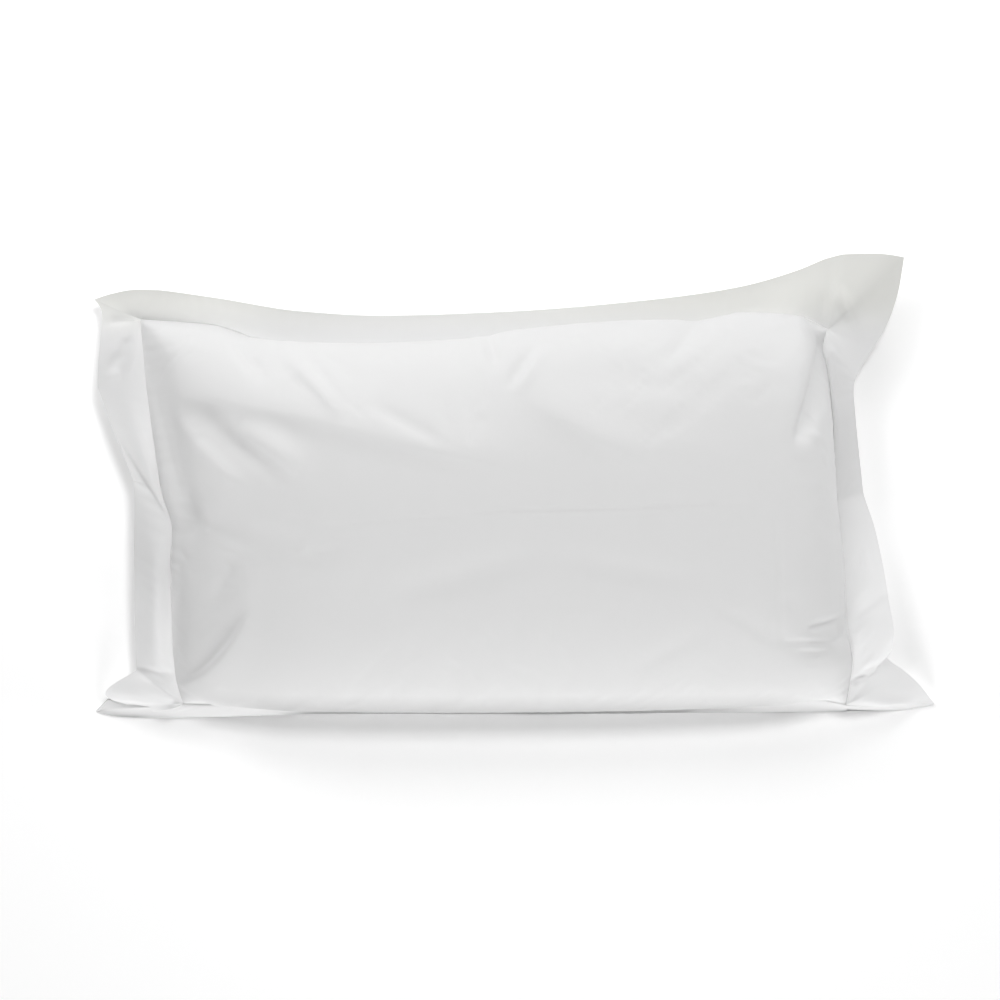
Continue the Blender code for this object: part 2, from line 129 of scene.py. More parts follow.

# Round the border from the lower left corner: share is the place along a side or corner, height the edge's
# over the floor, arch how far the cloth bows up half-way out, and the last column is painted light and
# shade, a factor on the colour: lighter where cloth with no fill behind it lets light through and shows
# what lies under it, darker where it takes less light. The places were picked by hand on the photograph,
# and a separate script turned them into these metres.
Edge = namedtuple("Edge", "share x y height arch tone")
BORDER_EDGE = {
    "lower side": (
        Edge(0.000, -0.3886, -0.2306, 0.0020, -0.002, 0.90),
        Edge(0.100, -0.3111, -0.2294, 0.0022, 0.000, 0.90),
        Edge(0.170, -0.2576, -0.2278, 0.0020, -0.006, 0.90),
        Edge(0.240, -0.2041, -0.2268, 0.0014, -0.018, 0.90),
        Edge(0.500, -0.0033, -0.2269, 0.0012, -0.020, 0.90),
        Edge(0.700, 0.1507, -0.2263, 0.0012, -0.020, 0.90),
        Edge(0.820, 0.2434, -0.2252, 0.0014, -0.014, 0.90),
        Edge(0.900, 0.3045, -0.2251, 0.0016, -0.010, 0.90),
    ),
    "lower right corner": (
        Edge(0.000, 0.3819, -0.2239, 0.0020, -0.006, 0.90),
        Edge(0.200, 0.4092, -0.2233, 0.0020, -0.002, 0.90),
        Edge(0.380, 0.4364, -0.2221, 0.0024, 0.002, 0.90),
        Edge(0.500, 0.4580, -0.2186, 0.0032, 0.004, 0.96),
        Edge(0.580, 0.4745, -0.2144, 0.0045, 0.005, 1.00),
        Edge(0.585, 0.4745, -0.2144, 0.0045, 0.005, 1.14),
        Edge(0.740, 0.4557, -0.1911, 0.0120, 0.008, 1.20),
        Edge(0.860, 0.4377, -0.1744, 0.0200, 0.009, 1.20),
    ),
    "right side": (
        Edge(0.000, 0.4168, -0.1574, 0.0330, 0.006, 1.20),
        Edge(0.010, 0.4161, -0.1561, 0.0340, 0.006, 1.20),
        Edge(0.040, 0.4218, -0.1445, 0.0370, 0.006, 1.22),
        Edge(0.080, 0.4220, -0.1286, 0.0430, 0.004, 1.22),
        Edge(0.150, 0.4174, -0.1022, 0.0450, 0.004, 1.22),
        Edge(0.300, 0.4078, -0.0541, 0.0480, 0.003, 1.19),
        Edge(0.420, 0.3970, -0.0109, 0.0500, 0.003, 1.14),
        Edge(0.500, 0.3856, 0.0240, 0.0470, 0.003, 1.06),
        Edge(0.570, 0.3817, 0.0508, 0.0480, 0.002, 0.98),
        Edge(0.720, 0.3758, 0.0986, 0.0490, 0.001, 0.94),
        Edge(0.830, 0.3726, 0.1337, 0.0510, 0.001, 0.96),
    ),
    "upper right corner": (
        Edge(0.000, 0.3780, 0.1536, 0.0510, 0.004, 1.00),
        Edge(0.140, 0.3916, 0.1767, 0.0510, 0.002, 0.97),
        Edge(0.300, 0.4080, 0.2059, 0.0490, 0.002, 0.95),
        Edge(0.440, 0.4182, 0.2391, 0.0460, 0.002, 0.90),
        Edge(0.560, 0.4234, 0.2712, 0.0420, 0.004, 0.90),
        Edge(0.565, 0.4234, 0.2712, 0.0420, 0.004, 0.90),
        Edge(0.740, 0.3946, 0.2750, 0.0450, 0.006, 0.96),
        Edge(0.900, 0.3631, 0.2745, 0.0460, 0.007, 0.95),
    ),
    "upper side": (
        Edge(0.000, 0.3435, 0.2703, 0.0450, 0.006, 0.95),
        Edge(0.060, 0.3120, 0.2571, 0.0400, 0.004, 0.93),
        Edge(0.150, 0.2525, 0.2394, 0.0300, 0.002, 0.86),
        Edge(0.300, 0.1479, 0.2242, 0.0220, 0.001, 0.87),
        Edge(0.500, 0.0000, 0.2123, 0.0160, 0.000, 0.90),
        Edge(0.670, -0.1273, 0.2084, 0.0140, 0.000, 0.90),
        Edge(0.780, -0.2119, 0.2133, 0.0160, 0.000, 0.87),
        Edge(0.880, -0.2955, 0.2270, 0.0240, 0.002, 0.90),
    ),
    "upper left corner": (
        Edge(0.000, -0.3599, 0.2362, 0.0300, 0.003, 0.84),
        Edge(0.200, -0.3819, 0.2366, 0.0310, 0.004, 0.84),
        Edge(0.440, -0.4083, 0.2321, 0.0310, 0.004, 0.85),
        Edge(0.600, -0.4253, 0.2265, 0.0340, 0.004, 0.89),
        Edge(0.605, -0.4253, 0.2265, 0.0340, 0.004, 0.89),
        Edge(0.780, -0.4170, 0.2148, 0.0410, 0.005, 1.03),
        Edge(0.900, -0.4162, 0.2066, 0.0440, 0.005, 1.08),
    ),
    "left side": (
        Edge(0.000, -0.4171, 0.1963, 0.0460, 0.004, 1.12),
        Edge(0.120, -0.4212, 0.1504, 0.0500, 0.003, 1.00),
        Edge(0.165, -0.4214, 0.1358, 0.0510, 0.003, 1.00),
        Edge(0.170, -0.4214, 0.1358, 0.0510, 0.003, 1.00),
        Edge(0.290, -0.4066, 0.0939, 0.0540, 0.001, 1.04),
        Edge(0.430, -0.3852, 0.0372, 0.0580, 0.000, 1.00),
        Edge(0.435, -0.3852, 0.0372, 0.0580, 0.000, 1.00),
        Edge(0.500, -0.3847, 0.0158, 0.0570, 0.003, 0.95),
        Edge(0.620, -0.3862, -0.0327, 0.0540, 0.007, 0.95),
        Edge(0.800, -0.3878, -0.1002, 0.0500, 0.008, 1.07),
        Edge(0.950, -0.3884, -0.1561, 0.0470, 0.004, 1.06),
    ),
    "lower left corner": (
        Edge(0.000, -0.3882, -0.1672, 0.0460, 0.004, 1.08),
        Edge(0.060, -0.3927, -0.1711, 0.0455, 0.005, 1.13),
        Edge(0.200, -0.4093, -0.1815, 0.0430, 0.006, 1.18),
        Edge(0.300, -0.4220, -0.1922, 0.0390, 0.006, 1.16),
        Edge(0.340, -0.4237, -0.1973, 0.0360, 0.006, 1.14),
        Edge(0.380, -0.4200, -0.2018, 0.0330, 0.006, 1.12),
        Edge(0.500, -0.4030, -0.2116, 0.0190, 0.008, 0.98),
        Edge(0.610, -0.3827, -0.2239, 0.0045, 0.013, 0.95),
        Edge(0.615, -0.3827, -0.2239, 0.0045, 0.010, 0.85),
        Edge(0.700, -0.4068, -0.2146, 0.0160, 0.002, 0.82),
        Edge(0.750, -0.4235, -0.2054, 0.0220, -0.002, 0.84),
        Edge(0.755, -0.4235, -0.2054, 0.0220, -0.002, 0.84),
        Edge(0.820, -0.4396, -0.2232, 0.0028, 0.000, 0.95),
        Edge(0.825, -0.4396, -0.2232, 0.0028, 0.000, 0.98),
        Edge(0.920, -0.4181, -0.2295, 0.0018, -0.004, 0.92),
    ),
}


def curve_through(places, values, at):
    """Values at the places `at` of a smooth curve that passes every given value without overshoot."""
    steps = np.diff(places)[:, None]
    slopes = np.diff(values, axis=0) / steps
    before, after = slopes[:-1], slopes[1:]
    even = before * after > 0
    near = 2 * steps[1:] + steps[:-1]
    far = steps[1:] + 2 * steps[:-1]
    mixed = near / np.where(even, before, 1) + far / np.where(even, after, 1)
    inner = np.where(even, (near + far) / np.where(even, mixed, 1), 0)
    tangents = np.vstack([slopes[:1], inner, slopes[-1:]])
    which = np.clip(np.searchsorted(places, at, side="right") - 1, 0, len(steps) - 1)
    step = steps[which]
    t = (np.asarray(at)[..., None] - np.asarray(places)[which][..., None]) / step
    return (
        (2 * t**3 - 3 * t**2 + 1) * values[which]
        + (t**3 - 2 * t**2 + t) * step * tangents[which]
        + (3 * t**2 - 2 * t**3) * values[which + 1]
        + (t**3 - t**2) * step * tangents[which + 1]
    )


rim_places, rim_rows, stations = [], [], []
for number, (name, edge_rows) in enumerate(BORDER_EDGE.items()):
    rim_places += [number + row.share for row in edge_rows]
    rim_rows += [row[1:] for row in edge_rows]
    if name.endswith("corner"):
        stations.append(number + np.arange(1, CORNER_CELLS) / CORNER_CELLS)
    else:
        seam_cells = 2 * (COLUMNS if name in ("lower side", "upper side") else ROWS)
        stations.append(number + np.linspace(0, 1, seam_cells + 1))
stretches = len(BORDER_EDGE)
rim_places = np.array([rim_places[-1] - stretches] + rim_places + [stretches, stretches + rim_places[1]])
rim_rows = np.array([rim_rows[-1]] + rim_rows + rim_rows[:2])
stations = np.concatenate(stations)
edge = curve_through(rim_places, rim_rows, stations)

# The model's middle is the middle of the border's box, so both pieces move there by this much.
cad_low, cad_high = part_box("border")
cad_middle = (np.array(cad_low) + np.array(cad_high)) / 2
own_middle = (edge[:, :2].min(axis=0) + edge[:, :2].max(axis=0)) / 2
to_frame = np.append(cad_middle[:2] - own_middle, 0)

# The pocket
# The inner 75 by 50 cm of the two panels is filled by a plump pillow. The sides of the face bulge
# out over the seam, and the back is pressed flat by the pillow's weight.
CROWN = 0.108  # the face's middle over the seam
BULGE_SHARE = 0.36  # share of the crown's height at which the sides stand out the most
BACK_BEND = 0.0573  # cloth from the seam down to the flat of the back
BACK_INSET = 0.045  # from the seam in to that flat
SECTION_POINTS = 400
NEXT_TO_NOTHING = 1e-12  # keeps a division clear of 0

# How round the face's section is, outward and upward: 2 each way is an ellipse, and more is boxier.
Rounding = namedtuple("Rounding", "outward upward")
LEFT_ROUNDING = Rounding(4.2, 1.15)
RIGHT_ROUNDING = Rounding(6.0, 1.7)
LOWER_ROUNDING = Rounding(2.6, 2.4)
UPPER_ROUNDING = Rounding(2.6, 2.6)


def side_curve(side, at):
    """x, y, height and tuck of the seam at the shares `at` of a side's length."""
    rows = np.array([(row.x, row.y, row.height, row.tuck) for row in side])
    lengths = np.hypot(*np.diff(rows[:, :2], axis=0).T)
    places = np.concatenate([[0], np.cumsum(lengths)]) / lengths.sum()
    return curve_through(places, rows, at)


def between_sides(across, up):
    """Points of a smooth patch that fills the seam, at shares of its length and width."""
    a, b = across[..., None], up[..., None]
    lower_left, lower_right, upper_left, upper_right = (
        np.array([row.x, row.y, row.height]) for row in (LOWER_LEFT, LOWER_RIGHT, UPPER_LEFT, UPPER_RIGHT)
    )
    along = (1 - b) * side_curve(LOWER_SIDE, across) + b * side_curve(UPPER_SIDE, across)
    athwart = (1 - a) * side_curve(LEFT_SIDE, up) + a * side_curve(RIGHT_SIDE, up)
    lower = (1 - a) * lower_left + a * lower_right
    upper = (1 - a) * upper_left + a * upper_right
    return (along + athwart)[..., :3] - (1 - b) * lower - b * upper


def face_section(place, half_span, rounding):
    """The face's curve |out|^a + |up|^b = 1, with equal lengths of cloth between its places."""
    angle = np.linspace(0, math.pi / 2, SECTION_POINTS)
    out = np.cos(angle) ** (2 / rounding.outward)
    up = np.sin(angle) ** (2 / rounding.upward)
    run = np.concatenate([[0], np.cumsum(np.hypot(half_span * np.diff(out), CROWN * np.diff(up)))])
    inward = 1 - np.abs(place)
    return np.sign(place) * np.interp(inward, run / run[-1], out), np.interp(inward, run / run[-1], up)


def back_section(place, half_cloth, half_span):
    """The back's curve: a bend down from the seam, and then the flat."""
    inward = (1 - np.abs(place)) * half_cloth
    turn = np.clip(inward / BACK_BEND, 0, 1) * math.pi / 2
    inset = BACK_INSET * (1 - np.cos(turn))
    flat = np.clip((inward - BACK_BEND) / (half_cloth - BACK_BEND), 0, 1) * (half_span - BACK_INSET)
    down = np.where(inward >= BACK_BEND, 1.0, np.sin(turn))
    return np.sign(place) * (1 - (inset + flat) / half_span), down


def both_ways(up_x, up_y):
    """One share of the crown's height from the shares of two sections: 0 at the seam, 1 in the middle."""
    product = up_x * up_y
    return product / np.sqrt(np.maximum(up_x**2 + up_y**2 - product**2, NEXT_TO_NOTHING))


# The face: equal lengths of cloth run up from the seam to the crown.
half_length = (LOWER_RIGHT.x + UPPER_RIGHT.x - LOWER_LEFT.x - UPPER_LEFT.x) / 4
half_width = (UPPER_LEFT.y + UPPER_RIGHT.y - LOWER_LEFT.y - LOWER_RIGHT.y) / 4
place_x, place_y = np.meshgrid(np.linspace(-1, 1, COLUMNS + 1), np.linspace(-1, 1, ROWS + 1))
left_tuck, right_tuck = (side_curve(side, (1 + place_y) / 2)[..., 3] for side in (LEFT_SIDE, RIGHT_SIDE))
lower_tuck, upper_tuck = (side_curve(side, (1 + place_x) / 2)[..., 3] for side in (LOWER_SIDE, UPPER_SIDE))
tuck_x = np.where(place_x < 0, left_tuck, -right_tuck)
tuck_y = np.where(place_y < 0, lower_tuck, -upper_tuck)

left_end = face_section(place_x, half_length, LEFT_ROUNDING)
right_end = face_section(place_x, half_length, RIGHT_ROUNDING)
out_x, up_x = np.where(place_x < 0, left_end, right_end)
lower_half = face_section(place_y, half_width, LOWER_ROUNDING)
upper_half = face_section(place_y, half_width, UPPER_ROUNDING)
out_y, up_y = np.where(place_y < 0, lower_half, upper_half)
face_x = place_x + (out_x - place_x) * up_y
face_y = place_y + (out_y - place_y) * up_x
front = between_sides((1 + face_x) / 2, (1 + face_y) / 2)
front[..., 2] += CROWN * both_ways(up_x, up_y)
front[..., 0] += np.clip(1 - up_x / BULGE_SHARE, 0, 1) ** 2 * tuck_x
front[..., 1] += np.clip(1 - up_y / BULGE_SHARE, 0, 1) ** 2 * tuck_y

# The back: it bends down from the same seam and lies flat on the floor.
out_x, down_x = back_section(place_x, POCKET_LENGTH / 2, half_length)
out_y, down_y = back_section(place_y, POCKET_WIDTH / 2, half_width)
rear_x = place_x + (out_x - place_x) * down_y
rear_y = place_y + (out_y - place_y) * down_x
back = between_sides((1 + rear_x) / 2, (1 + rear_y) / 2)
back[..., 2] *= 1 - down_x * down_y
back[..., 0] += (1 - down_x) * tuck_x
back[..., 1] += (1 - down_y) * tuck_y

# The pillow's push
# The fill presses the cotton out against its seam. The cloth is a little larger than the space
# it has there, so it wrinkles between the stitches. Only those short wrinkles are kept, and they
# calm down towards the two ends, which the fill stretches.
SPARE_CLOTH = 0.02  # share by which the cloth is larger
PUSH_FRAMES = 20
WRINKLE_LIMIT = 0.00035
WRINKLE_SPAN = 25  # smoothing rounds that a wrinkle does not outlast, and a broad bulge does
CALM_END = 0.12  # cloth at each end along which the wrinkles calm down
CALMEST = 0.1  # share of them that is left at the very end


def surface_normals(points):
    normals = np.cross(np.gradient(points, axis=1), np.gradient(points, axis=0))
    return normals / np.linalg.norm(normals, axis=-1, keepdims=True)


def on_seam(points):
    sewn = np.zeros(points.shape[:2], bool)
    sewn[[0, -1], :] = True
    sewn[:, [0, -1]] = True
    return sewn


def pocket_mesh(name, front, back):
    """One closed mesh of both panels, which share the points of the seam."""
    rows, columns = front.shape[:2]
    front_index = np.arange(rows * columns).reshape(rows, columns)
    back_index = front_index.copy()
    inner = ~on_seam(front)
    back_index[inner] = rows * columns + np.arange(inner.sum())
    corners = ((0, 0), (0, 1), (1, 1), (1, 0))
    faces = [
        np.stack([index[j : rows - 1 + j, i : columns - 1 + i] for j, i in turn], axis=-1).reshape(-1, 4)
        for index, turn in ((front_index, corners), (back_index, corners[::-1]))
    ]
    mesh = bpy.data.meshes.new(name)
    points = np.vstack([front.reshape(-1, 3), back[inner]])
    mesh.from_pydata(points.tolist(), [], np.vstack(faces).tolist())
    ends = np.empty(2 * len(mesh.edges), int)
    mesh.edges.foreach_get("vertices", ends)
    sewn = np.append(on_seam(front).ravel(), np.zeros(inner.sum(), bool))
    sharp = mesh.attributes.new("sharp_edge", "BOOLEAN", "EDGE")
    sharp.data.foreach_set("value", sewn[ends.reshape(-1, 2)].all(axis=1))
    return mesh


def wrinkled(front, back):
    """The front panel with the short wrinkles that the fill's pressure gives it, held at its seam."""
    made = bpy.data.objects.new("push", pocket_mesh("push", front, back))
    bpy.context.scene.collection.objects.link(made)
    held = made.vertex_groups.new(name="held")
    behind = np.arange(front[..., 0].size, len(made.data.vertices))
    held.add(np.append(np.flatnonzero(on_seam(front)), behind).tolist(), 1.0, "REPLACE")
    cloth = made.modifiers.new("cloth", "CLOTH")
    cloth.settings.quality = 6
    cloth.settings.mass = 0.25
    cloth.settings.tension_stiffness = 25
    cloth.settings.compression_stiffness = 25
    cloth.settings.shear_stiffness = 10
    cloth.settings.bending_stiffness = 0.4
    cloth.settings.air_damping = 3
    cloth.settings.use_pressure = True
    cloth.settings.uniform_pressure_force = 4
    cloth.settings.shrink_min = -SPARE_CLOTH
    cloth.settings.vertex_group_mass = "held"
    cloth.settings.effector_weights.gravity = 0
    for number in range(1, PUSH_FRAMES + 1):
        bpy.context.scene.frame_set(number)
    seen = made.evaluated_get(bpy.context.evaluated_depsgraph_get())
    moved = np.empty(len(made.data.vertices) * 3)
    seen.data.vertices.foreach_get("co", moved)
    moved = moved.reshape(-1, 3)[: front[..., 0].size].reshape(front.shape) - front
    bpy.context.scene.frame_set(1)
    bpy.data.objects.remove(made, do_unlink=True)

    broad = moved.copy()
    for _ in range(WRINKLE_SPAN):
        around = (broad[:-2, 1:-1] + broad[2:, 1:-1] + broad[1:-1, :-2] + broad[1:-1, 2:]) / 4
        broad[1:-1, 1:-1] = (broad[1:-1, 1:-1] + around) / 2
    from_end = POCKET_LENGTH / 2 * (1 - np.abs(place_x))
    wrinkles = (moved - broad) * np.clip(from_end / CALM_END, CALMEST, 1)[..., None]
    depth = np.linalg.norm(wrinkles, axis=-1, keepdims=True)
    kept_share = WRINKLE_LIMIT * np.tanh(depth / WRINKLE_LIMIT) / np.maximum(depth, NEXT_TO_NOTHING)
    return front + wrinkles * kept_share


front = wrinkled(front, back)

# The pocket's folds
# The cotton is slack over the fill: creases run down from the upper corners, and the seams pull
# short puckers. Each fold is a soft ridge (over 0) or trough (under 0), here and on the border. The
# places were picked by hand on the photograph, and a separate script turned them into these metres.
FOLD_REACH = 3  # a fold fades to nothing within this many of its widths
FOLD_END = 0.04  # how far along its swell a fold already is where it starts

Fold = namedtuple("Fold", "start_x start_y end_x end_y bow height left_width right_width")
POCKET_FOLDS = (
    Fold(-0.369, 0.180, -0.328, -0.002, -0.004, -0.0161, 0.023, 0.008),
    Fold(-0.329, 0.041, -0.329, -0.036, 0.000, -0.0076, 0.016, 0.011),
    Fold(-0.328, 0.004, -0.299, -0.011, 0.000, -0.0017, 0.011, 0.011),
    Fold(-0.336, -0.019, -0.344, -0.168, 0.000, -0.0068, 0.011, 0.005),
    Fold(-0.329, 0.108, -0.264, 0.043, -0.004, 0.0085, 0.011, 0.014),
    Fold(-0.303, 0.115, -0.233, 0.064, -0.002, -0.0034, 0.012, 0.012),
    Fold(-0.266, 0.101, -0.202, 0.057, 0.004, 0.0085, 0.018, 0.012),
    Fold(-0.342, 0.137, -0.151, 0.105, 0.004, 0.0061, 0.032, 0.014),
    Fold(-0.171, 0.107, 0.020, 0.064, 0.000, 0.0058, 0.034, 0.014),
    Fold(-0.222, 0.178, -0.165, 0.123, 0.000, 0.0044, 0.010, 0.006),
    Fold(-0.181, 0.167, -0.151, 0.134, 0.000, 0.0020, 0.008, 0.005),
    Fold(-0.125, 0.124, -0.060, 0.092, 0.000, -0.0025, 0.009, 0.007),
    Fold(0.034, 0.183, 0.010, 0.148, 0.000, -0.0034, 0.005, 0.006),
    Fold(0.047, 0.181, 0.022, 0.143, 0.000, 0.0027, 0.006, 0.005),
    Fold(0.041, 0.130, 0.156, 0.066, -0.003, 0.0037, 0.024, 0.012),
    Fold(0.091, 0.158, 0.207, 0.144, 0.000, -0.0027, 0.020, 0.016),
    Fold(0.112, 0.090, 0.227, 0.079, 0.000, 0.0020, 0.020, 0.016),
    Fold(0.335, 0.183, 0.307, 0.100, 0.003, -0.0170, 0.015, 0.006),
    Fold(0.308, 0.178, 0.294, 0.100, 0.000, 0.0027, 0.007, 0.014),
    Fold(0.285, 0.179, 0.275, 0.075, 0.000, 0.0017, 0.014, 0.014),
    Fold(-0.030, 0.019, 0.169, 0.023, 0.000, -0.0012, 0.003, 0.003),
    Fold(0.141, 0.024, 0.251, 0.028, 0.000, -0.0008, 0.003, 0.003),
    Fold(-0.180, 0.005, -0.010, 0.017, 0.000, -0.0008, 0.004, 0.004),
    Fold(-0.260, -0.097, -0.337, -0.183, 0.008, 0.0054, 0.020, 0.005),
    Fold(-0.264, -0.092, -0.342, -0.179, 0.007, -0.0017, 0.005, 0.012),
    Fold(-0.311, -0.010, -0.259, -0.030, 0.000, 0.0031, 0.010, 0.008),
    Fold(-0.254, -0.030, -0.260, -0.100, 0.000, 0.0034, 0.013, 0.017),
    Fold(-0.273, -0.036, -0.298, -0.087, 0.000, -0.0031, 0.009, 0.009),
    Fold(-0.096, -0.061, 0.030, -0.026, 0.000, -0.0019, 0.015, 0.015),
    Fold(0.061, -0.026, 0.192, -0.051, 0.000, -0.0014, 0.012, 0.012),
    Fold(0.140, -0.146, 0.209, -0.106, 0.000, -0.0015, 0.009, 0.009),
    Fold(0.317, -0.107, 0.362, -0.104, 0.000, -0.0037, 0.005, 0.005),
    Fold(0.294, -0.119, 0.354, -0.127, 0.000, -0.0022, 0.003, 0.003),
    Fold(0.312, -0.131, 0.344, -0.134, -0.002, -0.0022, 0.003, 0.003),
    Fold(0.354, -0.108, 0.361, -0.135, 0.000, -0.0027, 0.005, 0.005),
    Fold(0.284, 0.011, 0.291, -0.118, 0.000, -0.0010, 0.003, 0.003),
    Fold(-0.279, 0.204, -0.242, 0.157, 0.000, -0.0068, 0.009, 0.009),
    Fold(-0.012, 0.195, -0.003, 0.167, 0.000, -0.0051, 0.007, 0.007),
    Fold(0.205, 0.213, 0.166, 0.168, 0.000, -0.0044, 0.008, 0.008),
)


def fold_relief(folds, x, y):
    """Height of the folds at places on the cloth. Left and right are as seen from a fold's start."""
    relief = np.zeros_like(x)
    for fold in folds:
        run = np.array([fold.end_x - fold.start_x, fold.end_y - fold.start_y])
        length = np.hypot(*run)
        run /= length
        across = np.array([-run[1], run[0]])
        reach = FOLD_REACH * max(fold.left_width, fold.right_width) + abs(fold.bow)
        along = (x - fold.start_x) * run[0] + (y - fold.start_y) * run[1]
        aside = (x - fold.start_x) * across[0] + (y - fold.start_y) * across[1]
        share = np.clip(along / length, 0, 1)
        beyond = np.abs(along - share * length)
        aside -= 4 * fold.bow * share * (1 - share)
        near = (beyond < reach) & (np.abs(aside) < reach)
        width = np.where(aside > 0, fold.left_width, fold.right_width)[near]
        end_width = (fold.left_width + fold.right_width) / 2
        spread = (aside[near] / width) ** 2 + (beyond[near] / end_width) ** 2
        swell = np.sqrt(np.sin(math.pi * (FOLD_END + (1 - 2 * FOLD_END) * share[near])))
        relief[near] += fold.height * swell * np.exp(-spread)
    return relief


# The seam's puckers
# The stitches draw both cloths in a little, so short soft ripples run away from the seam.
PUCKER_DEPTH = 0.0007
PUCKER_REACH = 0.016
PUCKER_LENGTHS = (0.060, 0.041, 0.029, 0.021, 0.0165, 0.0140)
PUCKERS_FREE = 1 / 3  # looseness of the cloth past which the stitches no longer press a pucker down


def ripples(along, seed):
    """An uneven wave of about one unit along a seam, made of waves of the puckers' lengths."""
    chance = np.random.default_rng(seed)
    wave = np.zeros_like(along)
    for length in PUCKER_LENGTHS:
        wave += chance.uniform(0.5, 1.0) * np.sin(2 * math.pi * (along / length + chance.uniform()))
    return wave / 2


def pocket_puckers(panel):
    """Height of the puckers along the pocket's four sides, each with its own seed."""
    inside = (panel[..., 0], POCKET_LENGTH - panel[..., 0], panel[..., 1], POCKET_WIDTH - panel[..., 1])
    puckers = np.zeros(panel.shape[:2])
    for number, depth in enumerate(inside):
        along = panel[..., 1] if number < 2 else panel[..., 0]
        puckers += ripples(along, seed=number) * np.exp(-depth / PUCKER_REACH)
    return PUCKER_DEPTH * puckers


def refined(points):
    """Twice as many cells each way, on a smooth surface through the same points."""
    for axis in (0, 1):
        line = np.moveaxis(points, axis, 0)
        padded = np.concatenate([2 * line[:1] - line[1:2], line, 2 * line[-1:] - line[-2:-1]])
        middle = (9 * (padded[1:-2] + padded[2:-1]) - padded[:-3] - padded[3:]) / 16
        finer = np.empty((2 * len(line) - 1, *line.shape[1:]))
        finer[::2] = line
        finer[1::2] = middle
        points = np.moveaxis(finer, 0, axis)
    return points


front = refined(front)
back = refined(back)
back[on_seam(back)] = front[on_seam(front)]
back[..., 2] = np.maximum(back[..., 2], 0)
panel_x = np.linspace(0, POCKET_LENGTH, front.shape[1])
panel_y = np.linspace(0, POCKET_WIDTH, front.shape[0])
panel = np.stack(np.meshgrid(panel_x, panel_y), axis=-1)
loose = np.sqrt(both_ways(refined(up_x), refined(up_y)))
relief = fold_relief(POCKET_FOLDS, front[..., 0], front[..., 1]) * loose
relief += pocket_puckers(panel) * np.clip(loose / PUCKERS_FREE, 0, 1)
front = front + surface_normals(front) * relief[..., None]

# The cotton
# A fine plain weave, pressed but not stiff: matt, with a faint bloom at grazing angles. Along the case's
# upper side its colour is painted a little creamier than elsewhere, painted light for how the light falls
# there.
POCKET_WHITE = (0.76, 0.76, 0.76, 1)
POCKET_PAINTED_UPPER_TINT = (0.76, 0.76, 0.763, 1)
PAINTED_TINT_FROM = 0.16  # where the painted creamier tint begins, and where it is whole
PAINTED_TINT_TO = 0.21
WARP_SCALE = 600  # about 19 threads a centimetre
WEFT_SCALE = 560
SLUB_SCALE = 260  # thick places in the threads
SLUB_SHARE = 0.6
CRUMPLE_SCALE = 38  # small creases that pressing has left


